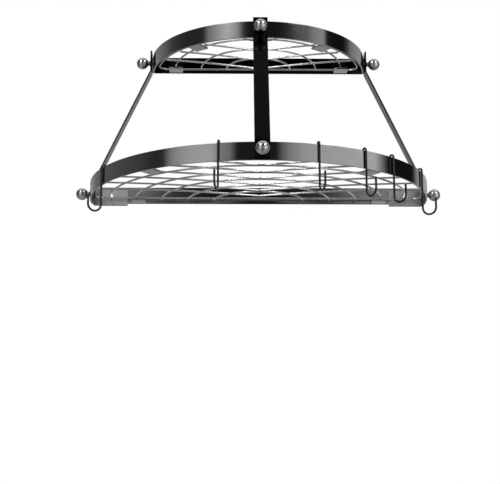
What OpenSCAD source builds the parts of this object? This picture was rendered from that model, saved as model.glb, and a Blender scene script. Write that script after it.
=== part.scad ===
// Half-round two-tier wall rack of flat bar, with a loose wire grid in each shelf and sliding hooks.
// x runs along the wall, the wall is the plane y = 0, and the rack stands out from it towards -y.
// The origin lies on the wall, midway between the round parts of the two lower keyholes.
// Angles called turns are measured at the centre of a band's arc from straight ahead, positive
// towards +x.

/* [Flat bar] */
// Height of the bands and the wall rails
bar_h = 30; // [22:1:45]
// Thickness of the bands, rails, straps and wall plates
bar_t = 3; // [2:0.25:4]

/* [Shelves] */
// Width of the upper shelf along the wall
upper_w = 394; // [340:2:480]
// Depth of the upper shelf out from the wall
upper_d = 182; // [160:1:230]
// Width of the lower shelf along the wall
lower_w = 610; // [540:2:760]
// Depth of the lower shelf out from the wall
lower_d = 305; // [250:1:380]
// Rise from the lower shelf to the upper one
shelf_rise = 250; // [180:5:350]

/* [Straps] */
// Width of the straps
strap_w = 25; // [18:1:32]
// Length of the straps above the upper band
strap_over = 6; // [2:0.5:15]
// Length of the side straps below the lower band
strap_under = 3; // [0:0.5:4]
// Radius on the centre line of the bends in the straps
bend_r = 6; // [4:0.5:10]
// Distance from a band's edge to the middle of the bend beside it
bend_off = 2.5; // [2:0.5:8]

/* [Screws and finials] */
// Diameter of the screws that hold the straps
screw_d = 5; // [4:0.5:6]
// Length of a screw inside its finial
screw_reach = 9; // [6:0.5:14]
// Width across the flats of a screw's head
head_w = 8; // [6:0.5:10]
// Height of a screw's head
head_h = 3.5; // [2:0.25:4.5]
// Diameter of a finial's ball
ball_d = 22; // [16:1:30]
// Diameter of the neck under the ball
neck_d = 8; // [7:0.5:10]
// Distance from the collar to the ball's surface
neck_l = 2.5; // [1:0.5:6]
// Diameter of the collar at the foot of a finial
collar_d = 12; // [9:0.5:15]
// Height of the collar
collar_h = 1.5; // [1:0.25:4]

/* [Wall fixing] */
// Diameter of the round part of a keyhole
keyhole_d = 9; // [7:0.5:11]
// Width of a keyhole's slot
slot_w = 5; // [4:0.25:6]
// Rise from the round part's centre to the centre of the slot's end
slot_rise = 7.5; // [6:0.5:8]
// Height of the round part's centre above the bottom edge of the bar
keyhole_h = 12.5; // [10:0.5:14]
// Distance from the lower keyholes to the outside of the band's ends
keyhole_in = 36; // [30:1:50]
// Length of a wall plate along the lower rail
plate_l = 60; // [55:1:80]
// Distance that a wall plate reaches below the lower rail
plate_drop = 4.5; // [0:0.5:6]

/* [Grid tabs] */
// Width of the tabs that carry the grids
tab_w = 25; // [15:1:30]
// Thickness of the tabs
tab_t = 3; // [2:0.25:3.5]
// Reach of a tab's foot under the grid
tab_l = 25; // [18:1:30]
// Height of the tabs on the wall rails
rear_tab_h = 24; // [10:1:28]
// Height of the tabs inside the bands
front_tab_h = 12; // [8:1:13]
// Distance from the ends of the upper rail to the middle of its tabs
upper_tab_in = 41; // [30:1:80]
// Distance from the middle of the lower rail's tabs to the arc wire that lies on them
tab_seat = 6; // [0:1:9]
// Place of the upper band's tabs between two chevrons, from 0 at the front one to 1 at the rear one
tab_place = 0.4; // [0.35:0.05:0.6]
// Turn of the tabs inside the lower band
lower_tab_turn = 38; // [25:1:40]

/* [Wire grids] */
// Diameter of the grid wires
wire_d = 3.3; // [2.5:0.1:4]
// Gap between a grid and the bar around it
grid_gap = 5.5; // [5:0.25:9]
// Radius on the centre line of a grid's rear corners
corner_r = 16; // [12:1:24]
// Spacing of a grid's arc wires
arc_pitch = 47; // [35:1:60]
// Distance from the upper band to the upper grid's largest arc
upper_arc_in = 28.5; // [20:0.5:40]
// Distance from the lower band to the lower grid's largest arc
lower_arc_in = 35; // [32:0.5:40]
// Spacing of a grid's chevron wires
chevron_pitch = 45.5; // [35:0.5:60]
// Distance of the upper grid's first chevron from the wall
upper_chevron_y = 24; // [18:0.5:40]
// Distance of the lower grid's first chevron from the wall
lower_chevron_y = 17; // [16:0.5:40]
// Slope of a chevron's arms where they meet
chevron_slope = 20; // [5:1:30]
// Radius of the slow curve in a chevron's arms
chevron_r = 1000; // [600:50:3000]

/* [Hooks] */
// Diameter of the hook wire
hook_d = 3.6; // [3:0.1:4]
// Clear width inside the loop that goes over the band
loop_gap = 3.9; // [3.7:0.1:4.2]
// Length of a hook's leg inside the band
leg_l = 13; // [8:1:16]
// Drop from the band's bottom edge to the centre of a hook's bowl
hook_drop = 36; // [20:1:60]
// Width of a hook's bowl, between centre lines
bowl_w = 23; // [16:1:32]
// Length of the straight tip above the bowl's centre
tip_l = 16; // [8:1:24]
// Chamfer on the cut ends of the hook wire
end_chamfer = 0.6; // [0.2:0.1:1]
// Turn of each hook along the lower band
hook_turns = [-61, -13, 17, 33, 45, 65]; // [-80:1:80]

/* [Clearances] */
// Gap between faces that are welded or screwed together
fit_gap = 0.05; // [0.02:0.01:0.1]
// Gap between a loose piece and what it rests on
rest_gap = 0.3; // [0.2:0.05:0.4]
// Gap all round a screw in the holes of a band or strap
hole_gap = 0.2; // [0.1:0.05:0.4]
// Gap all round a screw in its finial
thread_gap = 0.05; // [0.02:0.01:0.1]

/* [Hidden] */
$fa = 3;
$fs = 0.6;

upper_a = upper_w / 2;
lower_a = lower_w / 2;
lower_z = -keyhole_h;
upper_z = lower_z + shelf_rise;
bend_steps = 6;
cut = 1;

// A band is one arc: a is its half width at the wall and d its depth. The arc's centre lies
// behind the wall by band_y, and band_r is its outer radius.
function band_r(a, d) = (a * a + d * d) / (2 * d);
function band_y(a, d) = band_r(a, d) - d;

// Half width of the arc, drawn in by an inset, at a distance from the wall
function band_x(a, d, inset, y) = sqrt(pow(band_r(a, d) - inset, 2) - pow(band_y(a, d) + y, 2));

// Half width that a piece needs which runs from the wall to y outside or inside a band
function past_band(a, d, y) = band_x(a, d, 0, max(0, min(y, -band_y(a, d))));
function within_band(a, d, y) = min(band_x(a, d, bar_t, 0), band_x(a, d, bar_t, y));

// Side straps: outside the upper band, inside the lower one
strap_top_x = past_band(upper_a, upper_d, strap_w) + fit_gap;
strap_foot_x = within_band(lower_a, lower_d, strap_w) - fit_gap - bar_t;
rail_end_x = strap_foot_x - fit_gap;
upper_rail_x = within_band(upper_a, upper_d, bar_t) - fit_gap;
keyhole_x = lower_a - keyhole_in;

// Screw joints: the outermost face that is clamped, the heading of the finial, the clamped depth
head_r = head_w / 2 / cos(30);
upper_mid = upper_z + bar_h / 2;
lower_mid = lower_z + bar_h / 2;
front_clamp = 2 * bar_t + 3 * fit_gap;
upper_side_face = strap_top_x + bar_t;
upper_side_clamp = upper_side_face - band_x(upper_a, upper_d, bar_t, strap_w / 2 + head_r) + fit_gap;
lower_side_clamp = lower_a - strap_foot_x + 2 * fit_gap;
UPPER_FRONT = [[0, -upper_d - fit_gap - bar_t, upper_mid], -90, front_clamp];
LOWER_FRONT = [[0, -lower_d - fit_gap - bar_t, lower_mid], -90, front_clamp];
UPPER_RIGHT = [[upper_side_face, -strap_w / 2, upper_mid], 0, upper_side_clamp];
UPPER_LEFT = [[-upper_side_face, -strap_w / 2, upper_mid], 180, upper_side_clamp];
LOWER_RIGHT = [[lower_a + fit_gap, -strap_w / 2, lower_mid], 0, lower_side_clamp];
LOWER_LEFT = [[-lower_a - fit_gap, -strap_w / 2, lower_mid], 180, lower_side_clamp];
SCREWS = [UPPER_FRONT, UPPER_LEFT, UPPER_RIGHT, LOWER_FRONT, LOWER_LEFT, LOWER_RIGHT];

// Grid: the inset of its outer wire, the step between wire layers, the height at which a wire rests
ring_in = bar_t + grid_gap + wire_d / 2;
layer = wire_d + fit_gap;
wire_rest = tab_t + rest_gap + wire_d / 2;

// The lower grid lies on the front tabs by its outer wire and on the rear tabs by an arc wire,
// one layer lower, so it slopes down to the front.
lower_ring_r = band_r(lower_a, lower_d) - ring_in;
lower_tilt_y = band_y(lower_a, lower_d) - lower_ring_r * cos(lower_tab_turn);
lower_tilt = atan(layer / (-bar_t - tab_l - lower_tilt_y));

// Hook: centre lines of its leg and shank, outwards from the band's outer face
shank_x = rest_gap + hook_d / 2;
leg_x = shank_x - loop_gap - hook_d;

// Strip of bar with rounded bends: p is its centre line, off the distance to one side of it
function way(p, i) = (p[i + 1] - p[i]) / norm(p[i + 1] - p[i]);
function left(v) = [-v[1], v[0]];
function turned(v, a) = [v[0] * cos(a) - v[1] * sin(a), v[0] * sin(a) + v[1] * cos(a)];
function bend(corner, u, w, off) =
    let (
        a = atan2(u[0] * w[1] - u[1] * w[0], u * w),
        s = sign(a),
        centre = corner - u * bend_r * tan(abs(a) / 2) + left(u) * s * bend_r
    )
    [for (i = [0 : bend_steps]) centre - s * (bend_r - s * off) * turned(left(u), a * i / bend_steps)];
function strip_edge(p, off) = [
    p[0] + left(way(p, 0)) * off,
    for (i = [1 : len(p) - 2]) each bend(p[i], way(p, i - 1), way(p, i), off),
    p[len(p) - 1] + left(way(p, len(p) - 2)) * off
];
function reversed(p) = [for (i = [len(p) - 1 : -1 : 0]) p[i]];
module strip(p, w) {
    linear_extrude(w, center = true)
        polygon(concat(strip_edge(p, bar_t / 2), reversed(strip_edge(p, -bar_t / 2))));
}

// Chevron arm: the centre of its slow curve, and its point after turning through an angle
function arm_centre(y) = [0, -y] + chevron_r * [sin(chevron_slope), cos(chevron_slope)];
function arm_point(y, a) =
    arm_centre(y) + chevron_r * [cos(a - 90 - chevron_slope), sin(a - 90 - chevron_slope)];

// Angle through which an arm turns before it is within an inset of the band's outside, by halving
function arm_turn(a, d, inset, y, low, high, steps) =
    steps == 0 ? low
    : let (mid = (low + high) / 2)
        norm(arm_point(y, mid) - [0, band_y(a, d)]) < band_r(a, d) - inset
            ? arm_turn(a, d, inset, y, mid, high, steps - 1)
            : arm_turn(a, d, inset, y, low, mid, steps - 1);

// Turn at which an arm reaches that inset
function arm_heading(a, d, inset, y) =
    let (p = arm_point(y, arm_turn(a, d, inset, y, 0, 30, 24)))
    atan2(p[0], band_y(a, d) - p[1]);

// Tabs: the upper front ones lie between the second and third chevrons, and the lower rear ones
// under the second largest arc
tab_mid = bar_t + fit_gap + tab_l / 2;
upper_tab_turn =
    (1 - tab_place) * arm_heading(upper_a, upper_d, tab_mid, upper_chevron_y + 2 * chevron_pitch)
    + tab_place * arm_heading(upper_a, upper_d, tab_mid, upper_chevron_y + chevron_pitch);
upper_tab_x = upper_rail_x - upper_tab_in;
lower_tab_x = min(lower_a, lower_d) - lower_arc_in - arc_pitch - tab_seat;

// Wire along an arc, from one heading to another
module wire_arc(r, from, to, d) {
    rotate([0, 0, from])
        rotate_extrude(angle = to - from)
            translate([r, 0])
                circle(d = d);
}

// Bead of weld where two grid wires meet end to end
module bead(x, y) {
    translate([x, y, 0])
        rotate([30, 20, 0])
            sphere(d = wire_d + 2 * fit_gap);
}

// Puts its children at a screw joint, with x leading out along the screw
module at_screw(joint) {
    translate(joint[0])
        rotate([0, 0, joint[1]])
            children();
}

module screw_holes() {
    for (joint = SCREWS)
        at_screw(joint)
            translate([-joint[2] - cut, 0, 0])
                rotate([0, 90, 0])
                    cylinder(d = screw_d + 2 * hole_gap, h = joint[2] + 2 * cut);
}

// Keyhole through the bar against the wall and a plate in front of it
module keyhole(x, z) {
    translate([x, cut, z])
        rotate([90, 0, 0]) {
            cylinder(d = keyhole_d, h = 2 * bar_t + 2 * cut);
            translate([0, slot_rise, 0])
                cylinder(d = slot_w, h = 2 * bar_t + 2 * cut);
            translate([-slot_w / 2, 0, 0])
                cube([slot_w, slot_rise, 2 * bar_t + 2 * cut]);
        }
}

module band(a, d, z) {
    r = band_r(a, d);
    difference() {
        translate([0, band_y(a, d), z])
            cylinder(r = r, h = bar_h);
        translate([0, band_y(a, d), z - cut])
            cylinder(r = r - bar_t, h = bar_h + 2 * cut);
        translate([-r - cut, 0, z - cut])
            cube([2 * r + 2 * cut, 2 * r, bar_h + 2 * cut]);
        screw_holes();
    }
}

module upper_band() {
    color("dimgray")
        band(upper_a, upper_d, upper_z);
}

module lower_band() {
    color("dimgray")
        band(lower_a, lower_d, lower_z);
}

module upper_rail() {
    color("black")
        difference() {
            translate([-upper_rail_x, -bar_t, upper_z])
                cube([2 * upper_rail_x, bar_t, bar_h]);
            keyhole(0, upper_z + keyhole_h);
        }
}

module lower_rail() {
    color("dimgray")
        difference() {
            translate([-rail_end_x, -bar_t, lower_z])
                cube([2 * rail_end_x, bar_t, bar_h]);
            for (side = [-1, 1])
                keyhole(side * keyhole_x, 0);
        }
}

module wall_plate(side) {
    color("slategray")
        difference() {
            translate([side * (rail_end_x - plate_l / 2) - plate_l / 2,
                       -2 * bar_t - fit_gap, lower_z - plate_drop])
                cube([plate_l, bar_t, bar_h]);
            keyhole(side * keyhole_x, 0);
        }
}

// L-shaped tab: its back lies on x = 0 and its foot reaches out along +x
module tab(height) {
    color("gray")
        rotate([90, 0, 0])
            linear_extrude(tab_w, center = true)
                polygon([[0, 0], [tab_l, 0], [tab_l, tab_t], [tab_t, tab_t], [tab_t, height], [0, height]]);
}

module rear_tab(x, z) {
    translate([x, -bar_t - fit_gap, z])
        rotate([0, 0, -90])
            tab(rear_tab_h);
}

module front_tab(a, d, turn, z) {
    back_r = sqrt(pow(band_r(a, d) - bar_t, 2) - pow(tab_w / 2, 2)) - fit_gap;
    translate([0, band_y(a, d), z])
        rotate([0, 0, turn])
            translate([0, -back_r, 0])
                rotate([0, 0, 90])
                    tab(front_tab_h);
}

module front_strap() {
    upper_y = upper_d + fit_gap + bar_t / 2;
    lower_y = lower_d + fit_gap + bar_t / 2;
    color("black")
        difference() {
            rotate([90, 0, -90])
                strip([
                    [upper_y, upper_z + bar_h + strap_over],
                    [upper_y, upper_z - bend_off],
                    [lower_y, lower_z + bar_h + bend_off],
                    [lower_y, lower_z]
                ], strap_w);
            screw_holes();
        }
}

module side_strap(side) {
    upper_x = strap_top_x + bar_t / 2;
    lower_x = strap_foot_x + bar_t / 2;
    color("dimgray")
        difference() {
            mirror([side, 0, 0])
                translate([0, -strap_w / 2, 0])
                    rotate([90, 0, 0])
                        strip([
                            [upper_x, upper_z + bar_h + strap_over],
                            [upper_x, upper_z - bend_off],
                            [lower_x, lower_z + bar_h + bend_off],
                            [lower_x, lower_z - strap_under]
                        ], strap_w);
            screw_holes();
        }
}

module strap_screws() {
    color("gray")
        for (joint = SCREWS)
            at_screw(joint)
                translate([-joint[2], 0, 0])
                    rotate([0, 90, 0]) {
                        translate([0, 0, -head_h])
                            cylinder(r = head_r, h = head_h, $fn = 6);
                        cylinder(d = screw_d, h = joint[2] + screw_reach);
                    }
}

// Ball nut: collar, neck and ball, with a blind bore for the screw
module finial(joint) {
    color("silver")
        at_screw(joint)
            rotate([0, 90, 0])
                difference() {
                    union() {
                        cylinder(d = collar_d, h = collar_h);
                        cylinder(d = neck_d, h = collar_h + neck_l + ball_d / 4);
                        translate([0, 0, collar_h + neck_l + ball_d / 2])
                            sphere(d = ball_d);
                    }
                    translate([0, 0, -cut])
                        cylinder(d = screw_d + 2 * thread_gap, h = screw_reach + 2 * cut);
                }
}

// Grid in its own plane: the outer wire, arcs on one face and chevrons on the other
module grid(a, d, first_arc, first_chevron, arc_side) {
    ring_y = band_y(a, d);
    ring_r = band_r(a, d) - ring_in;
    corner_y = ring_in + corner_r;
    corner_turn = asin((ring_y + corner_y) / (ring_r - corner_r));
    corner_x = (ring_r - corner_r) * cos(corner_turn);
    room = min(a, d) - ring_in - 2 * wire_d;
    color("darkgray") {
        translate([0, ring_y, 0])
            wire_arc(ring_r, corner_turn - 180, -corner_turn, wire_d);
        for (side = [0, 1])
            mirror([side, 0, 0]) {
                translate([corner_x, -corner_y, 0])
                    wire_arc(corner_r, -corner_turn, 90, wire_d);
                bead(ring_r * cos(corner_turn), ring_y - ring_r * sin(corner_turn));
                bead(corner_x, -ring_in);
            }
        translate([-corner_x, -ring_in, 0])
            rotate([0, 90, 0])
                cylinder(d = wire_d, h = 2 * corner_x);
        for (r = [min(a, d) - first_arc : -arc_pitch : arc_pitch]) {
            end_turn = asin((ring_in - wire_d / 2) / r);
            translate([0, 0, arc_side * layer])
                wire_arc(r, end_turn - 180, -end_turn, wire_d);
        }
        for (y = [first_chevron : chevron_pitch : room])
            translate([0, 0, -arc_side * layer]) {
                bead(0, -y);
                for (side = [0, 1])
                    mirror([side, 0, 0])
                        translate(arm_centre(y))
                            wire_arc(chevron_r, -90 - chevron_slope,
                                     arm_turn(a, d, ring_in, y, 0, 30, 24) - 90 - chevron_slope,
                                     wire_d);
            }
    }
}

module upper_grid() {
    translate([0, 0, upper_z + wire_rest])
        grid(upper_a, upper_d, upper_arc_in, upper_chevron_y, 1);
}

module lower_grid() {
    translate([0, lower_tilt_y, lower_z + wire_rest])
        rotate([lower_tilt, 0, 0])
            translate([0, -lower_tilt_y, 0])
                grid(lower_a, lower_d, lower_arc_in, lower_chevron_y, -1);
}

// Hook in the plane y = 0, with the band's outer face at x = 0 and its bottom edge at z = 0
module hook_wire() {
    color("darkgray") {
        translate([leg_x, 0, bar_h - leg_l])
            cylinder(d = hook_d, h = leg_l);
        translate([leg_x, 0, bar_h - leg_l - end_chamfer])
            cylinder(d1 = hook_d - 2 * end_chamfer, d2 = hook_d, h = end_chamfer);
        translate([(leg_x + shank_x) / 2, 0, bar_h])
            rotate([90, 0, 0])
                wire_arc((shank_x - leg_x) / 2, 0, 180, hook_d);
        translate([shank_x, 0, -hook_drop])
            cylinder(d = hook_d, h = hook_drop + bar_h);
        translate([shank_x + bowl_w / 2, 0, -hook_drop])
            rotate([90, 0, 0])
                wire_arc(bowl_w / 2, 180, 360, hook_d);
        translate([shank_x + bowl_w, 0, -hook_drop])
            cylinder(d = hook_d, h = tip_l);
        translate([shank_x + bowl_w, 0, tip_l - hook_drop])
            cylinder(d1 = hook_d, d2 = hook_d - 2 * end_chamfer, h = end_chamfer);
    }
}

module hook(turn) {
    translate([0, band_y(lower_a, lower_d), lower_z])
        rotate([0, 0, turn - 90])
            translate([band_r(lower_a, lower_d), 0, 0])
                hook_wire();
}

upper_rail();
upper_band();
lower_rail();
lower_band();
wall_plate(-1);  // wall_plate_left
wall_plate(1);  // wall_plate_right
rear_tab(-upper_tab_x, upper_z);  // upper_tab_rear_left
rear_tab(upper_tab_x, upper_z);  // upper_tab_rear_right
front_tab(upper_a, upper_d, -upper_tab_turn, upper_z);  // upper_tab_front_left
front_tab(upper_a, upper_d, upper_tab_turn, upper_z);  // upper_tab_front_right
rear_tab(-lower_tab_x, lower_z);  // lower_tab_rear_left
rear_tab(lower_tab_x, lower_z);  // lower_tab_rear_right
front_tab(lower_a, lower_d, -lower_tab_turn, lower_z);  // lower_tab_front_left
front_tab(lower_a, lower_d, lower_tab_turn, lower_z);  // lower_tab_front_right
front_strap();
side_strap(1);  // side_strap_left
side_strap(0);  // side_strap_right
strap_screws();
finial(UPPER_FRONT);  // finial_upper_front
finial(UPPER_LEFT);  // finial_upper_left
finial(UPPER_RIGHT);  // finial_upper_right
finial(LOWER_FRONT);  // finial_lower_front
finial(LOWER_LEFT);  // finial_lower_left
finial(LOWER_RIGHT);  // finial_lower_right
upper_grid();
lower_grid();
hook(hook_turns[0]);  // hook_1
hook(hook_turns[1]);  // hook_2
hook(hook_turns[2]);  // hook_3
hook(hook_turns[3]);  // hook_4
hook(hook_turns[4]);  // hook_5
hook(hook_turns[5]);  // hook_6
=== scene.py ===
# Wall pot rack: two half-round flat-bar shelves, loose wire grids, ball finials and sliding hooks
import math

import bmesh
import bpy
from mathutils import Matrix, Vector


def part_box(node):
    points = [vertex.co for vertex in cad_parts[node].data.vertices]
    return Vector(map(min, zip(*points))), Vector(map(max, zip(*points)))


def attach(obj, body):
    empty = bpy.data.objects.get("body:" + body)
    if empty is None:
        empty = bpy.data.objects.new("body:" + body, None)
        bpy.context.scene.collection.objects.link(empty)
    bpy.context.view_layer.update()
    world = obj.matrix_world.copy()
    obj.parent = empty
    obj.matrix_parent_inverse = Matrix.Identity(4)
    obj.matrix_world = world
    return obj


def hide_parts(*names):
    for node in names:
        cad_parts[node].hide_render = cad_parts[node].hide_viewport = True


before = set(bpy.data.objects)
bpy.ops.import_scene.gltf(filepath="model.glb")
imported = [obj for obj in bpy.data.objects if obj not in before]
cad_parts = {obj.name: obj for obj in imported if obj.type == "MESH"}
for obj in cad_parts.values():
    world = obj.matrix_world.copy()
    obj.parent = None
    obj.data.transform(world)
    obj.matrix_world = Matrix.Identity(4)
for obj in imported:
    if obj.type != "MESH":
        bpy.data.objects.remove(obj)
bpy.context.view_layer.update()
print("frame loaded:", len(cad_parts), "nodes")


class Tone:  # a shader socket that can be added, subtracted and multiplied in Python
    def __init__(self, paint, socket):
        self.paint = paint
        self.socket = socket

    def maths(self, operation, *values):
        return self.paint.node("ShaderNodeMath", {"operation": operation}, dict(enumerate(values)))

    def __add__(self, other):
        return self.maths("ADD", self, other)

    def __radd__(self, other):
        return self.maths("ADD", other, self)

    def __sub__(self, other):
        return self.maths("SUBTRACT", self, other)

    def __rsub__(self, other):
        return self.maths("SUBTRACT", other, self)

    def __mul__(self, other):
        return self.maths("MULTIPLY", self, other)

    def __abs__(self):
        return self.maths("ABSOLUTE", self)

    def root(self):
        return self.maths("SQRT", self)

    def larger(self, other):
        return self.maths("MAXIMUM", self, other)

    def angle(self, ahead):  # of a direction with this sideways part and that part ahead
        return self.maths("ARCTAN2", self, ahead)

    def ramp(self, low, high, outLow=0.0, outHigh=1.0):  # smooth step from low to high
        return self.paint.node("ShaderNodeMapRange", {"interpolation_type": "SMOOTHSTEP"},
                               {0: self, 1: low, 2: high, 3: outLow, 4: outHigh})


metalShape = {"blue": 1.02, "coatRoughness": 0.06}  # of every metal here


class Paint:  # the node tree of a material or of the world
    def __init__(self, owner):
        self.owner = owner
        owner.use_nodes = True
        self.tree = owner.node_tree
        self.tree.nodes.clear()

    def node(self, kind, settings=None, inputs=None, output=0):
        made = self.tree.nodes.new(kind)
        for key, value in (settings or {}).items():
            if key == "stops":  # the places and greys of a colour ramp
                while len(made.color_ramp.elements) < len(value):
                    made.color_ramp.elements.new(0.5)
                for element, (spot, grey) in zip(made.color_ramp.elements, value):
                    element.position = spot
                    element.color = (grey, grey, grey, 1)
            else:
                setattr(made, key, value)
        for key, value in (inputs or {}).items():
            if isinstance(value, Tone):
                self.tree.links.new(value.socket, made.inputs[key])
            else:
                made.inputs[key].default_value = value
        return Tone(self, made.outputs[output]) if len(made.outputs) else None

    def place(self):
        return self.node("ShaderNodeTexCoord", output="Object")

    def parts(self, vector):  # the three numbers of a vector
        split = self.node("ShaderNodeSeparateXYZ", {}, {0: vector})
        return [Tone(self, output) for output in split.socket.node.outputs]

    def join(self, x, y, z):
        return self.node("ShaderNodeCombineXYZ", {}, {0: x, 1: y, 2: z})

    def noise(self, vector, scale, detail, rough=0.5):
        return self.node("ShaderNodeTexNoise", {},
                         {"Vector": vector, "Scale": scale, "Detail": detail, "Roughness": rough})

    def bump(self, height, strength, distance):
        return self.node("ShaderNodeBump", {},
                         {"Height": height, "Strength": strength, "Distance": distance})

    def mixed(self, factor, first, second):  # colour between two greys, a touch on the blue side
        sides = [side if isinstance(side, Tone) else (side, side, side * metalShape["blue"], 1)
                 for side in (first, second)]
        return self.node("ShaderNodeMix", {"data_type": "RGBA"},
                         {0: factor, 6: sides[0], 7: sides[1]}, output=2)

    def metal(self, colour, roughness, normal, coat):
        shader = self.node("ShaderNodeBsdfPrincipled", {},
                           {"Base Color": colour, "Metallic": 1.0, "Roughness": roughness,
                            "Normal": normal, "Coat Weight": coat,
                            "Coat Roughness": metalShape["coatRoughness"]})
        self.node("ShaderNodeOutputMaterial", {}, {"Surface": shader})
        return self.owner

    def shown(self):  # 1 where the camera sees this directly, in a mirror or through glass
        camera, mirror, glass = [self.node("ShaderNodeLightPath", output="Is " + kind + " Ray")
                                 for kind in ("Camera", "Glossy", "Transmission")]
        return camera.larger(mirror).larger(glass)


def newPaint(name):
    return Paint(bpy.data.materials.new(name))


def arcOf(node):  # a band is one arc from wall to wall, found from its box
    low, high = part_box(node)
    radius = (high.x ** 2 + low.y ** 2) / (-2 * low.y)
    return {"half": high.x, "depth": -low.y, "radius": radius, "centreY": radius + low.y,
            "bottom": low.z, "height": high.z - low.z}


arcs = {"upper": arcOf("upper_band"), "lower": arcOf("lower_band")}
bar = {"thick": 0.003, "fitGap": 0.00005}

barLook = {
    "base": 0.42,  # grey of the lacquered black nickel in full light
    "deep": 0.32,  # grey at the bottom of the brush marks
    "edgeWearAndShade": 0.55,  # grey of its rubbed edges; where a look sets it dark it is painted shade
    "edgeWearAndShadeShare": 0.7,
    "edgeWearAndShadeRim": (0.0011, 0.0002),  # distances from the edge where the edge tone starts and is full
    "edgeWearAndShadeScale": 140.0,
    "patches": (0.45, 0.7),  # where in its noise the edge tone starts and is full
    "edgeRoughness": 0.08,
    "roughness": 0.10,
    "brushing": 0.05,  # how far the brushing changes the roughness
    "streaks": 900,  # brush marks per metre across the bar
    "along": (14, 90),  # marks per metre along it, coarse and fine
    "fineRate": 4,  # fine marks to each coarse one, across the bar
    "coarse": (4.0, 0.65),  # detail and roughness of the noise in the marks
    "fine": (2.0, 0.5),
    "edgeNoise": (3.0, 0.6),
    "cloudScale": 9.0,
    "shares": (0.5, 0.25, 0.25),  # of coarse marks, fine marks and clouds in the tone
    "contrast": (0.32, 0.68),
    "bump": 0.35,
    "bumpShares": (0.6, 0.4),  # of coarse and fine marks in the depth
    "scratchDepth": 0.000003,
    "coat": 0.3,
}
# the side straps: the bands' steel made darker, painted shade
shadedSideLook = dict(barLook, base=0.12, deep=0.085, edgeWearAndShade=0.22)
blackLook = dict(barLook, base=0.02, deep=0.012, edgeWearAndShade=0.08, coat=0.04)
wallLook = dict(barLook, base=0.45, deep=0.27, roughness=0.12, brushing=0.08, streaks=420,
                edgeWearAndShade=0.04, edgeWearAndShadeShare=1.0, patches=(0.15, 0.35))  # its narrow edges are painted dark, painted shade
# the wall plates: the rail's steel made lighter, a painted reflection
litPlateLook = dict(wallLook, base=0.85, deep=0.5, roughness=0.34)
tabLook = dict(barLook, base=0.62, deep=0.5, roughness=0.3, brushing=0.1, streaks=500)
# the rear tabs: the front tabs' steel, a touch lighter on the upper tier and darker on the lower,
# painted light and shade
upperTabLook = dict(tabLook, base=0.66, deep=0.5, roughness=0.16,
                    edgeWearAndShade=0.02, edgeWearAndShadeShare=1.0, patches=(-1.0, 0.0))  # painted black above its foot, painted shade
lowerTabLook = dict(tabLook, base=0.55, deep=0.4, roughness=0.22)


def barFinish(name, look, grain, half):  # grain gives the way along, across and from the middle
    paint = newPaint(name)
    along, across, middle = grain(paint)
    coarseRate, fineRate = look["along"]
    coarseShare, fineShare, cloudShare = look["shares"]
    coarseDepth, fineDepth = look["bumpShares"]
    coarse = paint.noise(paint.join(along * coarseRate, across * look["streaks"], 0.0),
                         1.0, *look["coarse"])
    fine = paint.noise(paint.join(along * fineRate, across * look["streaks"] * look["fineRate"],
                                  0.0), 1.0, *look["fine"])
    cloud = paint.noise(paint.place(), look["cloudScale"], 2.0)
    tone = coarse * coarseShare + fine * fineShare + cloud * cloudShare
    body = paint.mixed(tone.ramp(*look["contrast"]), look["deep"], look["base"])
    # the edge tone: lighter rubbed wear on most bars, dark painted shade on the lower rail, wall
    # plates and upper rear tabs
    edgePatches = paint.noise(paint.place(), look["edgeWearAndShadeScale"], *look["edgeNoise"]).ramp(*look["patches"])
    edgeWearAndShadeMask = abs(middle).ramp(*(half - distance for distance in look["edgeWearAndShadeRim"])) * edgePatches
    colour = paint.mixed(edgeWearAndShadeMask * look["edgeWearAndShadeShare"], body, look["edgeWearAndShade"])
    rough = look["roughness"] + (tone - 0.5) * look["brushing"] + edgeWearAndShadeMask * look["edgeRoughness"]
    normal = paint.bump(coarse * coarseDepth + fine * fineDepth, look["bump"], look["scratchDepth"])
    return paint.metal(colour, rough, normal, look["coat"])


def arcGrain(arc):  # brushing that follows the band's arc
    def grain(paint):
        x, y, z = paint.parts(paint.place())
        out = arc["centreY"] - y
        reach = (x * x + out * out).root()
        middle = arc["bottom"] + arc["height"] / 2
        return x.angle(out) * arc["radius"], z + reach, z - middle
    return grain


def railGrain(node):
    low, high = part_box(node)

    def grain(paint):
        x, y, z = paint.parts(paint.place())
        return x, z + y, z - (low.z + high.z) / 2
    return grain


def strapGrain(axis, middle):  # axis is the one across the strap, 0 for x and 1 for y
    def grain(paint):
        place = paint.parts(paint.place())
        across = place[axis] - middle
        return place[2], across, across
    return grain


def tabGrain(foot):
    def grain(paint):
        x, y, z = paint.parts(paint.place())
        return x + y, x - y + z, z - foot
    return grain


wireLook = {
    "base": 0.82,
    "deep": 0.62,
    "contrast": (0.35, 0.65),
    "roughness": 0.2,
    "unevenness": 0.12,  # how far the grain changes the roughness
    "grain": 260.0,
    "fine": (3.0, 0.6),  # detail and roughness of the noise in the grain
    "cloudScale": 25.0,
    "bump": 0.2,
    "depth": 0.00002,
    "coat": 0.2,
}
hookLook = dict(wireLook, base=0.07, deep=0.045, roughness=0.13, coat=0.3)
screwLook = dict(wireLook, base=0.22, deep=0.14, roughness=0.25, coat=0.3)
# the finial's neck: the ball's metal made darker, a painted dark reflection
shadedNeckLook = dict(wireLook, base=0.13, deep=0.09, roughness=0.14, coat=0.3)
ballLook = dict(wireLook, base=0.66, deep=0.58, roughness=0.23, grain=90.0, depth=0.000004,
                coat=0.0)


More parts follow.
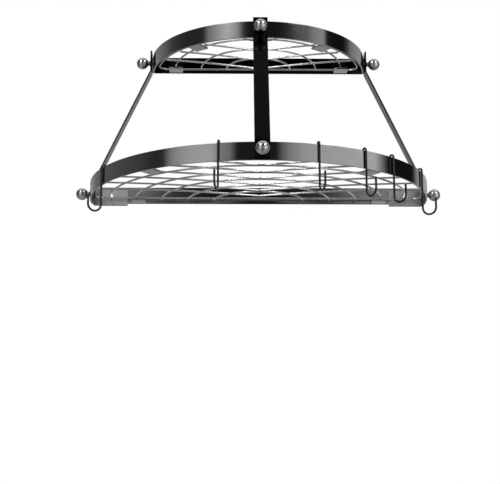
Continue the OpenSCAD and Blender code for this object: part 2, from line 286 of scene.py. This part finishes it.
def wireFinish(name, look):  # drawn or turned metal: fine grain, with slow clouds of tone
    paint = newPaint(name)
    grain = paint.noise(paint.place(), look["grain"], *look["fine"])
    cloud = paint.noise(paint.place(), look["cloudScale"], 2.0)
    tone = grain * 0.5 + cloud * 0.5
    colour = paint.mixed(tone.ramp(*look["contrast"]), look["deep"], look["base"])
    rough = look["roughness"] + (tone - 0.5) * look["unevenness"]
    return paint.metal(colour, rough, paint.bump(grain, look["bump"], look["depth"]), look["coat"])


halfBar = arcs["upper"]["height"] / 2
low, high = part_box("wall_plate_left")
halfPlate = (high.z - low.z) / 2
strapWidth = 0.025
noRim = 1.0  # half width that no place on a tab reaches, so it shows no rubbed edge
upperTabShadeHeight = 0.006  # above this height over its foot an upper rear tab is painted black, painted shade
finishes = {
    "upperBand": barFinish("upperBandFinish", barLook, arcGrain(arcs["upper"]), halfBar),
    "lowerBand": barFinish("lowerBandFinish", barLook, arcGrain(arcs["lower"]), halfBar),
    "upperRail": barFinish("upperRailFinish", blackLook, railGrain("upper_rail"), halfBar),
    "lowerRail": barFinish("lowerRailFinish", wallLook, railGrain("lower_rail"), halfBar),
    "wallPlate": barFinish("wallPlateFinish", litPlateLook, railGrain("wall_plate_left"), halfPlate),
    "frontTab": barFinish("frontTabFinish", tabLook, tabGrain(0.0), noRim),
    "upperRearTab": barFinish("upperRearTabFinish", upperTabLook,
                              tabGrain(arcs["upper"]["bottom"]), upperTabShadeHeight),
    "lowerRearTab": barFinish("lowerRearTabFinish", lowerTabLook, tabGrain(0.0), noRim),
    "frontStrap": barFinish("frontStrapFinish", blackLook, strapGrain(0, 0.0), strapWidth / 2),
    "sideStrap": barFinish("sideStrapFinish", shadedSideLook, strapGrain(1, -strapWidth / 2),
                           strapWidth / 2),
    "grid": wireFinish("gridFinish", wireLook),
    "hook": wireFinish("hookFinish", hookLook),
    "screw": wireFinish("screwFinish", screwLook),
    "neck": wireFinish("neckFinish", shadedNeckLook),
    "ball": wireFinish("ballFinish", ballLook),
}
print("finishes made:", len(finishes))


straight = 0.99  # a direction along an axis has at least this much of it
level = 0.01  # and one square to the axis no more than this
near = 0.0001  # places closer than this are the same


def begin(kind, name, stretch=(1, 1, 1), **settings):  # a primitive, alone, in edit mode
    bpy.ops.object.select_all(action="DESELECT")
    getattr(bpy.ops.mesh, "primitive_" + kind + "_add")(**settings)
    piece = bpy.context.object
    piece.name = piece.data.name = name
    piece.scale = stretch
    bpy.ops.object.transform_apply(location=True, rotation=True, scale=True)
    bpy.ops.object.mode_set(mode="EDIT")
    return piece


def pick(kind, test):  # selects what passes a test on its middle and its normal or direction
    bpy.ops.mesh.select_mode(type=kind)
    bpy.ops.mesh.select_all(action="DESELECT")
    mesh = bmesh.from_edit_mesh(bpy.context.edit_object.data)
    if kind == "FACE":
        found = [(f, f.calc_center_median(), f.normal) for f in mesh.faces]
    elif kind == "EDGE":
        found = [(e, (e.verts[0].co + e.verts[1].co) / 2,
                  (e.verts[1].co - e.verts[0].co).normalized()) for e in mesh.edges]
    else:
        found = [(v, v.co, v.normal) for v in mesh.verts]
    for part, middle, way in found:
        if test(middle, way):
            part.select_set(True)
    bmesh.update_edit_mesh(bpy.context.edit_object.data)


def push(x, y, z):  # extrudes what is selected
    bpy.ops.mesh.extrude_region_move(TRANSFORM_OT_translate={"value": (x, y, z)})


def sweep(angle, centre, steps, axis=(0, 0, 1)):  # extrudes what is selected round a line
    bpy.ops.mesh.spin(steps=steps, angle=-angle, center=centre, axis=axis)


def complete(piece, edge=0.0, steps=2, limit=40):  # closes the mesh and rounds its sharp edges
    bpy.ops.mesh.select_all(action="SELECT")
    bpy.ops.mesh.remove_doubles(threshold=0.000001)
    bpy.ops.mesh.normals_make_consistent(inside=False)
    bpy.ops.object.mode_set(mode="OBJECT")
    if edge:
        bpy.ops.object.shade_smooth()
        rounding = piece.modifiers.new("edge", "BEVEL")
        rounding.width = edge
        rounding.segments = steps
        rounding.limit_method = "ANGLE"
        rounding.angle_limit = math.radians(limit)
        rounding.harden_normals = True
        bpy.ops.object.modifier_apply(modifier=rounding.name)
    else:
        bpy.ops.object.shade_smooth_by_angle(angle=math.radians(limit))
    return piece


def placed(pattern, name, matrix):  # a copy with its own mesh, at its place
    made = pattern.copy()
    made.data = pattern.data.copy()
    made.name = made.data.name = name
    bpy.context.collection.objects.link(made)
    made.data.transform(matrix)
    return made


def joined(name, pieces):  # several pieces made into one
    bpy.ops.object.select_all(action="DESELECT")
    for piece in pieces:
        piece.select_set(True)
    bpy.context.view_layer.objects.active = pieces[0]
    bpy.ops.object.join()
    pieces[0].name = pieces[0].data.name = name
    return pieces[0]


def dress(piece, body, slot, finish, *hidden):  # its finish, body and the nodes it hides; slot is not used
    piece.data.materials.clear()
    piece.data.materials.append(finishes[finish])
    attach(piece, body)
    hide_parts(*hidden)


def turned(degrees, axis="Z"):
    return Matrix.Rotation(math.radians(degrees), 4, axis)


bandShape = {
    "steps": 150,
    "edge": 0.0007,
    "spare": math.radians(2),  # swept past the wall at each end, to be cut off there
}


def makeBand(name, arc):  # the bar's section swept round its arc, then cut off at the wall
    middle = arc["radius"] - bar["thick"] / 2
    reach = math.acos(arc["centreY"] / arc["radius"]) + bandShape["spare"]
    piece = begin("plane", name, (arc["height"], bar["thick"], 1), size=1,
                  location=(-middle * math.sin(reach), arc["centreY"] - middle * math.cos(reach),
                            arc["bottom"] + arc["height"] / 2),
                  rotation=(0, math.pi / 2, -reach))
    bpy.ops.mesh.select_all(action="SELECT")
    sweep(2 * reach, (0, arc["centreY"], 0), bandShape["steps"])
    bpy.ops.mesh.select_all(action="SELECT")
    bpy.ops.mesh.bisect(plane_co=(0, 0, 0), plane_no=(0, 1, 0), use_fill=True, clear_outer=True)
    return complete(piece, bandShape["edge"], steps=3)


dress(makeBand("upperBandPiece", arcs["upper"]), "rack", "dark_bar", "upperBand", "upper_band")
dress(makeBand("lowerBandPiece", arcs["lower"]), "rack", "dark_bar", "lowerBand", "lower_band")
print("bands made")

keyholeShape = {
    "round": 0.0045,
    "slot": 0.0025,  # half the slot's width
    "rise": 0.0075,
    "depth": 0.02,  # of the cutters
    "sides": 48,
    "lower": 0.269,  # distance of the lower keyholes from the middle
    "upper": 0.25,  # height of the upper keyhole
}
railShape = {"edge": 0.0006}


def cutKeyhole(piece, x, z):  # a round opening, with a slot that leads up from it
    cutters = []
    for name, radius, height in (("keyholeRound", keyholeShape["round"], z),
                                 ("keyholeSlot", keyholeShape["slot"], z + keyholeShape["rise"])):
        cutter = begin("cylinder", name, vertices=keyholeShape["sides"], radius=radius,
                       depth=keyholeShape["depth"], location=(x, 0, height),
                       rotation=(math.pi / 2, 0, 0))
        if name == "keyholeSlot":
            pick("VERT", lambda co, way: co.z < height - near)
            bpy.ops.transform.translate(value=(0, 0, -keyholeShape["rise"]))
        bpy.ops.object.mode_set(mode="OBJECT")
        cutters.append(cutter)
    bpy.ops.object.select_all(action="DESELECT")
    bpy.context.view_layer.objects.active = piece
    piece.select_set(True)
    for cutter in cutters:
        cut = piece.modifiers.new("cut", "BOOLEAN")
        cut.operation = "DIFFERENCE"
        cut.solver = "EXACT"
        cut.object = cutter
        bpy.ops.object.modifier_apply(modifier=cut.name)
        bpy.data.objects.remove(cutter)


def makeRail(name, node, keyholes):  # a straight bar or plate with keyholes
    low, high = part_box(node)
    piece = begin("cube", name, high - low, size=1, location=(low + high) / 2)
    bpy.ops.object.mode_set(mode="OBJECT")
    for x, z in keyholes:
        cutKeyhole(piece, x, z)
    bpy.ops.object.mode_set(mode="EDIT")
    return complete(piece, railShape["edge"])


beside = keyholeShape["lower"]
dress(makeRail("upperRailPiece", "upper_rail", [(0, keyholeShape["upper"])]),
      "rack", "black_bar", "upperRail", "upper_rail")
dress(makeRail("lowerRailPiece", "lower_rail", [(-beside, 0), (beside, 0)]),
      "rack", "wall_bar", "lowerRail", "lower_rail")
dress(makeRail("leftPlatePiece", "wall_plate_left", [(-beside, 0)]),
      "rack", "wall_bar", "wallPlate", "wall_plate_left")
dress(makeRail("rightPlatePiece", "wall_plate_right", [(beside, 0)]),
      "rack", "wall_bar", "wallPlate", "wall_plate_right")
print("rails and wall plates made")

tabShape = {
    "width": 0.025,
    "reach": 0.025,
    "rearHeight": 0.024,
    "frontHeight": 0.012,
    "bend": 0.0035,  # radius outside the bend
    "inner": 0.001,
    "bendSteps": 5,
    "edge": 0.0004,
}


def makeTab(name, height):  # a strip with its back bent up, lying along +x from the origin
    width, reach, thick = tabShape["width"], tabShape["reach"], bar["thick"]
    piece = begin("cube", name, (reach, width, thick), size=1, location=(reach / 2, 0, thick / 2))
    bpy.ops.mesh.select_all(action="SELECT")
    bpy.ops.mesh.bisect(plane_co=(thick, 0, 0), plane_no=(1, 0, 0))
    pick("FACE", lambda co, way: way.z > straight and co.x < thick)
    push(0, 0, height - thick)
    for offset, x, z in ((tabShape["bend"], 0, 0), (tabShape["inner"], thick, thick)):
        pick("EDGE", lambda co, way: abs(way.y) > straight
             and (co - Vector((x, 0, z))).length < near)
        bpy.ops.mesh.bevel(offset=offset, segments=tabShape["bendSteps"], affect="EDGES")
    return complete(piece, tabShape["edge"])


tabs = {
    "rear": makeTab("rearTabPattern", tabShape["rearHeight"]),
    "front": makeTab("frontTabPattern", tabShape["frontHeight"]),
}
for tier, arc in arcs.items():
    for hand in ("left", "right"):
        low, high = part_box(tier + "_tab_rear_" + hand)
        spot = Matrix.Translation(((low.x + high.x) / 2, high.y, low.z)) @ turned(-90)
        piece = placed(tabs["rear"], tier + "RearTab" + hand.title(), spot)
        dress(piece, "rack", "tab_bar", tier + "RearTab", tier + "_tab_rear_" + hand)

        low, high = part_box(tier + "_tab_front_" + hand)
        foot = (low + high) / 2  # the middle of the foot is on the tab's heading
        heading = math.atan2(foot.x, arc["centreY"] - foot.y)
        back = math.hypot(foot.x, arc["centreY"] - foot.y) + tabShape["reach"] / 2
        spot = (Matrix.Translation((0, arc["centreY"], low.z)) @ turned(math.degrees(heading))
                @ Matrix.Translation((0, -back, 0)) @ turned(90))
        piece = placed(tabs["front"], tier + "FrontTab" + hand.title(), spot)
        dress(piece, "rack", "tab_bar", "frontTab", tier + "_tab_front_" + hand)
for pattern in tabs.values():
    bpy.data.objects.remove(pattern)
print("tabs made")

strapShape = {
    "bend": 0.006,
    "beside": 0.0025,  # from a band's edge to the middle of the bend next to it
    "steps": 8,
    "edge": 0.0006,
}


def makeStrap(name, upperOut, lowerOut, top, foot):  # flat bar with two bends, out along +x
    upperTurn = arcs["upper"]["bottom"] - strapShape["beside"]
    lowerTurn = arcs["lower"]["bottom"] + arcs["lower"]["height"] + strapShape["beside"]
    run, fall = lowerOut - upperOut, upperTurn - lowerTurn
    slope = math.atan2(run, fall)
    bend = strapShape["bend"]
    short = bend * math.tan(slope / 2)
    length = math.hypot(run, fall) - 2 * short  # of the slope between its bends
    piece = begin("plane", name, (bar["thick"], strapWidth, 1), size=1, location=(upperOut, 0, top))
    bpy.ops.mesh.select_all(action="SELECT")
    push(0, 0, upperTurn + short - top)
    sweep(slope, (upperOut + bend, 0, upperTurn + short), strapShape["steps"], (0, -1, 0))
    push(length * math.sin(slope), 0, -length * math.cos(slope))
    sweep(-slope, (lowerOut - bend, 0, lowerTurn - short), strapShape["steps"], (0, -1, 0))
    push(0, 0, foot - lowerTurn + short)
    return complete(piece, strapShape["edge"], steps=3)


halfThick = bar["thick"] / 2
low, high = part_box("front_strap")
pattern = makeStrap("frontStrapPattern", -high.y + halfThick, -low.y - halfThick, high.z, low.z)
piece = placed(pattern, "frontStrapPiece", turned(-90))
dress(piece, "rack", "black_bar", "frontStrap", "front_strap")
bpy.data.objects.remove(pattern)
low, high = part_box("side_strap_right")
pattern = makeStrap("sideStrapPattern", low.x + halfThick, high.x - halfThick, high.z, low.z)
middle = Matrix.Translation((0, (low.y + high.y) / 2, 0))
for hand, heading in (("left", 180), ("right", 0)):
    piece = placed(pattern, hand + "StrapPiece", middle @ turned(heading))
    dress(piece, "rack", "dark_bar", "sideStrap", "side_strap_" + hand)
bpy.data.objects.remove(pattern)
print("straps made")

finialShape = {
    "ball": 0.011,
    "centre": 0.015,  # from the foot to the middle of the ball
    "sides": 48,
    "rings": 24,
    "neck": 0.0042,  # radius of the opening in the ball that the neck grows from
    "profile": ((0.004, 0.0044), (0.0039, 0.0035), (0.004, 0.0026), (0.0044, 0.0019),
                (0.0052, 0.00155), (0.0057, 0.0015), (0.006, 0.0012), (0.006, 0.0)),
}  # the profile gives radius and height of the neck and collar, down from the ball
screwShape = {
    "across": 0.008,  # the flats of its head
    "height": 0.0035,
    "chamfer": 0.0006,
    "dishRim": 0.0009,
    "dish": 0.0003,
    "shank": 0.0025,
    "length": 0.015,
    "sides": 24,
}
screwReach = screwShape["across"] / 2 / math.cos(math.pi / 6)  # from its axis to a corner


def makeFinial():  # a ball whose foot is drawn down into a neck and collar, along +z
    shape = finialShape
    piece = begin("uv_sphere", "finialPattern", segments=shape["sides"],
                  ring_count=shape["rings"], radius=shape["ball"],
                  location=(0, 0, shape["centre"]))
    pick("FACE", lambda co, way: co.z < shape["centre"] and co.xy.length < shape["neck"])
    bpy.ops.mesh.delete(type="FACE")
    pick("EDGE", lambda co, way: co.z < shape["centre"] and abs(way.z) < level
         and co.xy.length < shape["neck"] + near)
    start = next(v.co for v in bmesh.from_edit_mesh(piece.data).verts if v.select)
    radius, height = start.xy.length, start.z
    for nextRadius, nextHeight in shape["profile"]:
        push(0, 0, nextHeight - height)
        grow = nextRadius / radius
        bpy.ops.transform.resize(value=(grow, grow, 1), center_override=(0, 0, nextHeight))
        radius, height = nextRadius, nextHeight
    bpy.ops.mesh.edge_face_add()
    return complete(piece, limit=35)


def makeScrew():  # chamfered hexagon head with a dished top, its shank along +z
    shape = screwShape
    piece = begin("cylinder", "screwPattern", vertices=6, radius=screwReach,
                  depth=shape["height"], location=(0, 0, -shape["height"] / 2))
    pick("FACE", lambda co, way: way.z < -straight)
    bpy.ops.mesh.bevel(offset=shape["chamfer"], segments=2, affect="EDGES")
    pick("FACE", lambda co, way: way.z < -straight)
    bpy.ops.mesh.inset(thickness=shape["dishRim"])
    push(0, 0, shape["dish"])
    bpy.ops.mesh.primitive_cylinder_add(vertices=shape["sides"], radius=shape["shank"],
                                        depth=shape["length"],
                                        location=(0, 0, shape["length"] / 2))
    return complete(piece, limit=25)


def insideReach(arc, wide):  # half width inside a band at a distance from the wall
    return math.sqrt((arc["radius"] - bar["thick"]) ** 2 - (arc["centreY"] + wide) ** 2)


finial = makeFinial()
screw = makeScrew()
strapFar = strapWidth / 2 + screwReach
screws = []
for tier, arc in arcs.items():
    for spot, heading in (("front", -90), ("left", 180), ("right", 0)):
        node = "finial_" + tier + "_" + spot
        low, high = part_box(node)
        middle = (low + high) / 2
        if spot == "front":
            base = Vector((0, high.y, middle.z))
            clamped = 2 * bar["thick"] + 3 * bar["fitGap"]
        else:
            base = Vector((high.x if spot == "left" else low.x, middle.y, middle.z))
            inner = (insideReach(arc, strapFar) if tier == "upper"
                     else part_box("side_strap_right")[1].x - bar["thick"])
            clamped = abs(base.x) - inner + bar["fitGap"]
        joint = Matrix.Translation(base) @ turned(heading) @ turned(90, "Y")
        piece = placed(finial, tier + "Finial" + spot.title(), joint)
        dress(piece, "rack", "ball_chrome", "ball", node)
        # the neck and collar take the darker finish, a painted dark reflection
        piece.data.materials.append(finishes["neck"])
        for polygon in piece.data.polygons:
            if (joint.inverted() @ polygon.center).z < finialShape["profile"][0][1]:
                polygon.material_index = 1
        inward = Matrix.Translation((0, 0, -clamped))
        screws.append(placed(screw, node + "Screw", joint @ inward))
dress(joined("strapScrewSet", screws), "rack", "screw_steel", "screw", "strap_screws")
for pattern in (finial, screw):
    bpy.data.objects.remove(pattern)
print("finials and screws made")

gridShape = {
    "wire": 0.0033,
    "gap": 0.0055,  # between the outer wire and the bar round it
    "corner": 0.016,
    "cornerSteps": 12,
    "frontSteps": 110,
    "arcPitch": 0.047,
    "arcSteps": (24, 250),  # at least, and more for each metre of radius
    "chevronPitch": 0.0455,
    "slope": math.radians(20),  # of a chevron's arms where they meet
    "armRadius": 1.0,
    "armSteps": 18,
    "widestTurn": math.radians(30),
    "halvings": 30,
    "apexRadius": 0.008,
    "apexSteps": 8,
    "rest": 0.0003,  # room under a grid, above what carries it
    "frontTurn": math.radians(38),  # the lower front tabs' turn
    "end": 0.0006,
    "sides": 16,
}
grids = {  # distances of a grid's first wires from the band and the wall; which face has the arcs
    "upper": {"firstArc": 0.0285, "firstChevron": 0.024, "arcSide": 1},
    "lower": {"firstArc": 0.035, "firstChevron": 0.017, "arcSide": -1},
}


def startWire(x, y, z, heading):  # a wire's end, square to its heading
    bpy.ops.mesh.primitive_circle_add(vertices=gridShape["sides"], radius=gridShape["wire"] / 2,
                                      fill_type="NGON", location=(x, y, z),
                                      rotation=(0, math.pi / 2, heading))


def armTurn(arc, inset, y):  # angle at which a chevron's arm meets the outer wire, by halving
    radius, slope = gridShape["armRadius"], gridShape["slope"]
    low, high = 0.0, gridShape["widestTurn"]
    for _ in range(gridShape["halvings"]):
        middle = (low + high) / 2
        angle = middle - math.pi / 2 - slope
        point = (radius * (math.sin(slope) + math.cos(angle)),
                 radius * (math.cos(slope) + math.sin(angle)) - y - arc["centreY"])
        if math.hypot(*point) < arc["radius"] - inset:
            low = middle
        else:
            high = middle
    return low


def makeGrid(tier):  # outer wire, arcs on one face of it and chevrons on the other
    arc, layout, shape = arcs[tier], grids[tier], gridShape
    inset = bar["thick"] + shape["gap"] + shape["wire"] / 2
    ring = arc["radius"] - inset
    layer = (shape["wire"] + bar["fitGap"]) * layout["arcSide"]
    corner, cornerY = shape["corner"], inset + shape["corner"]
    cornerTurn = math.asin((arc["centreY"] + cornerY) / (ring - corner))
    cornerX = (ring - corner) * math.cos(cornerTurn)
    welds = []

    piece = begin("circle", tier + "GridPiece", vertices=shape["sides"], radius=shape["wire"] / 2,
                  location=(0, -inset, 0), rotation=(0, math.pi / 2, 0))
    bpy.ops.mesh.select_all(action="SELECT")
    push(cornerX, 0, 0)
    sweep(-math.pi / 2 - cornerTurn, (cornerX, -cornerY, 0), shape["cornerSteps"])
    sweep(2 * cornerTurn - math.pi, (0, arc["centreY"], 0), shape["frontSteps"])
    sweep(-math.pi / 2 - cornerTurn, (-cornerX, -cornerY, 0), shape["cornerSteps"])
    push(cornerX, 0, 0)

    radius = min(arc["half"], arc["depth"]) - layout["firstArc"]
    least, perMetre = shape["arcSteps"]
    while radius >= shape["arcPitch"]:
        end = math.asin((inset - shape["wire"] / 2) / radius)
        startWire(-radius * math.cos(end), -radius * math.sin(end), layer, end - math.pi / 2)
        sweep(math.pi - 2 * end, (0, 0, 0), least + int(radius * perMetre))
        reach = math.sqrt(radius ** 2 - inset ** 2)
        welds += [(hand * reach, -inset, layer / 2) for hand in (-1, 1)]
        radius -= shape["arcPitch"]

    room = min(arc["half"], arc["depth"]) - inset - 2 * shape["wire"]
    far, slope, apex = shape["armRadius"], shape["slope"], shape["apexRadius"]
    y = layout["firstChevron"]
    while y <= room:
        arm = armTurn(arc, inset, y)
        angle = arm - math.pi / 2 - slope
        endX = far * (math.sin(slope) + math.cos(angle))
        endY = far * (math.cos(slope) + math.sin(angle)) - y
        short = apex * math.tan(slope) / far
        startWire(-endX, endY, -layer, slope - arm)
        armY = far * math.cos(slope) - y
        sweep(arm - short, (-far * math.sin(slope), armY, 0), shape["armSteps"])
        sweep(-2 * slope, (0, -y - apex / math.cos(slope), 0), shape["apexSteps"])
        sweep(arm - short, (far * math.sin(slope), armY, 0), shape["armSteps"])
        welds += [(hand * endX, endY, -layer / 2) for hand in (-1, 1)]
        y += shape["chevronPitch"]
    complete(piece, shape["end"], limit=60)
    return piece, welds


weldShape = {
    "wide": 0.0021,
    "high": 0.0012,
    "sides": 14,
    "rings": 8,
    "rim": 0.8,  # share of the width where the rim starts
    "uneven": (1.08, 0.94, 1.25),
    "turn": 40,  # degrees from one bead to the next, so that no two look the same
}
bead = begin("uv_sphere", "weldPattern", (weldShape["wide"], weldShape["wide"], weldShape["high"]),
             segments=weldShape["sides"], ring_count=weldShape["rings"], radius=1)
pick("VERT", lambda co, way: co.xy.length > weldShape["wide"] * weldShape["rim"])
bpy.ops.transform.resize(value=weldShape["uneven"], center_override=(0, 0, 0))
complete(bead, limit=60)

for tier, arc in arcs.items():
    piece, welds = makeGrid(tier)
    beads = [placed(bead, "weld", Matrix.Translation(spot) @ turned(weldShape["turn"] * i))
             for i, spot in enumerate(welds)]
    piece = joined(tier + "GridPiece", [piece] + beads)
    rest = bar["thick"] + gridShape["rest"] + gridShape["wire"] / 2
    tiltY, tilt = 0.0, 0.0
    if tier == "lower":  # the rear tabs carry an arc wire, one layer lower, so it slopes
        inset = bar["thick"] + gridShape["gap"] + gridShape["wire"] / 2
        tiltY = arc["centreY"] - (arc["radius"] - inset) * math.cos(gridShape["frontTurn"])
        tilt = math.atan((gridShape["wire"] + bar["fitGap"])
                         / (-bar["thick"] - tabShape["reach"] - tiltY))
    piece.data.transform(Matrix.Translation((0, tiltY, arc["bottom"] + rest))
                         @ Matrix.Rotation(tilt, 4, "X") @ Matrix.Translation((0, -tiltY, 0)))
    dress(piece, tier + "_grid", "grid_wire", "grid", tier + "_grid")
bpy.data.objects.remove(bead)
print("grids made")

hookShape = {
    "wire": 0.0036,
    "rest": 0.0003,  # room between the shank and the band's face
    "loop": 0.0039,  # clear width inside the loop
    "loopSteps": 16,
    "leg": 0.0136,
    "drop": 0.036,
    "bowl": 0.023,  # width between centre lines
    "bowlSteps": 28,
    "tip": 0.0166,
    "end": 0.0007,
    "sides": 20,
    "turns": (-61, -13, 17, 33, 45, 65),  # place of each hook along the lower band
}


def makeHook():  # bent wire in the plane y = 0, the band's face at x = 0 and its foot at z = 0
    shape, barHeight = hookShape, arcs["lower"]["height"]
    shank = shape["rest"] + shape["wire"] / 2
    leg = shank - shape["loop"] - shape["wire"]
    piece = begin("circle", "hookPattern", vertices=shape["sides"], radius=shape["wire"] / 2,
                  fill_type="NGON", location=(leg, 0, barHeight - shape["leg"]))
    bpy.ops.mesh.select_all(action="SELECT")
    push(0, 0, shape["leg"])
    sweep(math.pi, ((leg + shank) / 2, 0, barHeight), shape["loopSteps"], (0, 1, 0))
    push(0, 0, -barHeight - shape["drop"])
    sweep(-math.pi, (shank + shape["bowl"] / 2, 0, -shape["drop"]), shape["bowlSteps"], (0, 1, 0))
    push(0, 0, shape["tip"])
    return complete(piece, shape["end"], steps=3, limit=60)


hook = makeHook()
arc = arcs["lower"]
for number, heading in enumerate(hookShape["turns"], 1):
    spot = (Matrix.Translation((0, arc["centreY"], arc["bottom"])) @ turned(heading - 90)
            @ Matrix.Translation((arc["radius"], 0, 0)))
    piece = placed(hook, "hookPiece" + str(number), spot)
    dress(piece, "hook_" + str(number), "hook_wire", "hook", "hook_" + str(number))
bpy.data.objects.remove(hook)
print("hooks made:", len(hookShape["turns"]))

studio = {
    "centre": (0.0, -0.15),
    "reach": 2.6,  # distance of the tent that only reflections see
    "floor": -0.60,
    "change": 0.95,  # height where the low wall ends and the high one starts
    "top": 2.6,
    "near": 0.55,  # how far in the low wall's foot reaches along the floor, as a share
    "sides": 96,
    # the cards' greys: compass degrees from straight in front, positive to the right, and tone
    "low": ((-180, 0.34), (-150, 0.34), (-138, 0.23), (-115, 0.16), (-84, 0.1), (-72, 0.045),
            (-65, 0.05), (-59, 0.48), (-48, 0.76), (-32, 0.86), (-25, 0.43), (-16, 0.4),
            (-10, 0.42), (-7.5, 0.01), (8, 0.01), (11, 0.42), (20, 0.5), (28, 0.74), (60, 0.84),
            (80, 0.96), (85, 0.46), (91, 0.012), (121, 0.012), (128, 0.42), (140, 0.5),
            (180, 0.34)),
    "high": ((-180, 0.28), (-135, 0.28), (-120, 0.21), (-105, 0.09), (-85, 0.045), (-62, 0.04),
             (-56, 0.38), (-44, 0.66), (-34, 0.92), (-24, 0.64), (-17, 0.08), (-12, 0.015),
             (20, 0.015), (36, 0.04), (52, 0.2), (62, 0.48), (73, 0.6), (78, 0.012),
             (103, 0.012), (110, 0.09), (118, 0.38), (135, 0.45), (150, 0.34), (180, 0.28)),
    "ground": ((-180, 0.24), (-150, 0.32), (-40, 0.36), (-16, 0.12), (10, 0.12), (36, 0.36),
               (150, 0.19), (180, 0.24)),
    "ceiling": ((-180, 0.65), (-60, 0.65), (-25, 0.3), (25, 0.3), (60, 0.65), (180, 0.65)),
    "shade": ((-20, 0.4), (-15, 0.02), (10, 0.02), (15, 0.35)),  # on a small card near the band
    "shadeSize": (0.31, 0.08),
    "shadePlace": (-0.02, -0.6, 0.085),
    "lampPower": 16.0,
    "lampSize": 0.7,
    "lamps": {"left": (-38, 2.3, 1.75), "right": (44, 2.3, 1.75)},  # degrees, reach, height
    "aim": 0.1,  # the height that they point at
}


def around(degrees, reach):  # a place beside the rack, by compass degrees from the front
    angle = math.radians(degrees)
    x, y = studio["centre"]
    return x + reach * math.sin(angle), y - reach * math.cos(angle)


def hang(card, stops):  # a card that only reflections see, its greys set round the compass
    paint = newPaint(card.name + "Paint")
    x, y, z = paint.parts(paint.place())
    turn = (x - studio["centre"][0]).angle(studio["centre"][1] - y)
    share = turn * (0.5 / math.pi) + 0.5  # 0 to 1 round the compass
    spots = [((degrees + 180) / 360, grey) for degrees, grey in stops]
    tone = paint.node("ShaderNodeValToRGB", {"stops": spots}, {0: share})
    glow = paint.node("ShaderNodeEmission", {}, {"Color": tone})
    paint.node("ShaderNodeOutputMaterial", {}, {"Surface": glow})
    card.data.materials.append(paint.owner)
    card.visible_camera = False
    card.visible_diffuse = False
    card.visible_shadow = False
    card.visible_transmission = False


def makeWall(name, bottom, top, stops, onFloor):  # the tent's wall, its foot drawn in on the floor
    x, y = studio["centre"]
    wall = begin("cylinder", name, vertices=studio["sides"], radius=studio["reach"],
                 depth=top - bottom, end_fill_type="NOTHING", location=(x, y, (top + bottom) / 2))
    if onFloor:
        pick("EDGE", lambda co, way: co.z < bottom + near and abs(way.z) < level)
        push(0, 0, 0)
        bpy.ops.transform.resize(value=(studio["near"], studio["near"], 1),
                                 center_override=(x, y, bottom))
    bpy.ops.object.mode_set(mode="OBJECT")
    hang(wall, stops)


makeWall("lowWall", studio["floor"], studio["change"], studio["low"], True)
makeWall("highWall", studio["change"], studio["top"], studio["high"], False)
for name, radius, height in (("ceiling", studio["reach"], studio["top"]),
                             ("ground", studio["reach"] * studio["near"], studio["floor"])):
    disc = begin("circle", name + "Card", vertices=studio["sides"], radius=radius,
                 fill_type="NGON", location=(*studio["centre"], height))
    bpy.ops.object.mode_set(mode="OBJECT")
    hang(disc, studio[name])

shade = begin("plane", "shadeCard", (*studio["shadeSize"], 1), size=1,
              location=studio["shadePlace"], rotation=(math.pi / 2, 0, 0))
bpy.ops.object.mode_set(mode="OBJECT")
hang(shade, studio["shade"])

for hand, (degrees, reach, height) in studio["lamps"].items():
    data = bpy.data.lights.new(hand + "Softbox", "AREA")
    data.size = studio["lampSize"]
    data.energy = studio["lampPower"]
    lamp = bpy.data.objects.new(hand + "Softbox", data)
    bpy.context.collection.objects.link(lamp)
    lamp.location = (*around(degrees, reach), height)
    aim = Vector((*studio["centre"], studio["aim"])) - lamp.location
    lamp.rotation_euler = aim.to_track_quat("-Z", "Y").to_euler()
    lamp.visible_camera = False

floorShape = {
    "radius": 4.0,
    "height": -0.62,
    "sides": 128,
    "colour": 0.9,
    "roughness": 0.9,
    "glow": 0.6,  # share of plain white near the rack; it grows to all of it at the rim
    "fade": (1.2, 3.8),
}
floor = begin("circle", "paleFloor", vertices=floorShape["sides"], radius=floorShape["radius"],
              fill_type="NGON", location=(0, 0, floorShape["height"]))
bpy.ops.object.mode_set(mode="OBJECT")
paint = newPaint("paleFloorPaint")
grey = floorShape["colour"]
matt = paint.node("ShaderNodeBsdfPrincipled", {},
                  {"Base Color": (grey, grey, grey, 1), "Roughness": floorShape["roughness"]})
glow = paint.node("ShaderNodeEmission")
x, y, z = paint.parts(paint.place())
reach = (x * x + y * y).root()
share = paint.shown() * reach.ramp(*floorShape["fade"], floorShape["glow"], 1.0)
both = paint.node("ShaderNodeMixShader", {}, {0: share, 1: matt, 2: glow})
paint.node("ShaderNodeOutputMaterial", {}, {"Surface": both})
floor.data.materials.append(paint.owner)

roomLight = 0.55  # what the white room gives to the rack; seen directly it is plain white
world = bpy.data.worlds.new("paleRoom")
bpy.context.scene.world = world
paint = Paint(world)
room = paint.node("ShaderNodeBackground", {}, {"Color": (1, 1, 1, 1), "Strength": roomLight})
white = paint.node("ShaderNodeBackground", {}, {"Color": (1, 1, 1, 1), "Strength": 1.0})
both = paint.node("ShaderNodeMixShader", {}, {0: paint.shown(), 1: room, 2: white})
paint.node("ShaderNodeOutputWorld", {}, {"Surface": both})
print("studio set")

cameraShape = {
    "place": (-0.0407, -1.9502, -0.4639),
    "tilt": 0.193,  # upwards, in radians
    "yaw": -0.013,
    "lens": 78.84,
    "sensor": 36.0,
}
cameraData = bpy.data.cameras.new("photoCamera")
cameraData.lens = cameraShape["lens"]
cameraData.sensor_width = cameraShape["sensor"]
camera = bpy.data.objects.new("photoCamera", cameraData)
bpy.context.collection.objects.link(camera)
camera.location = cameraShape["place"]
camera.rotation_euler = (math.pi / 2 + cameraShape["tilt"], 0, cameraShape["yaw"])
bpy.context.scene.camera = camera
bpy.context.scene.view_settings.view_transform = "Standard"
print("camera set")
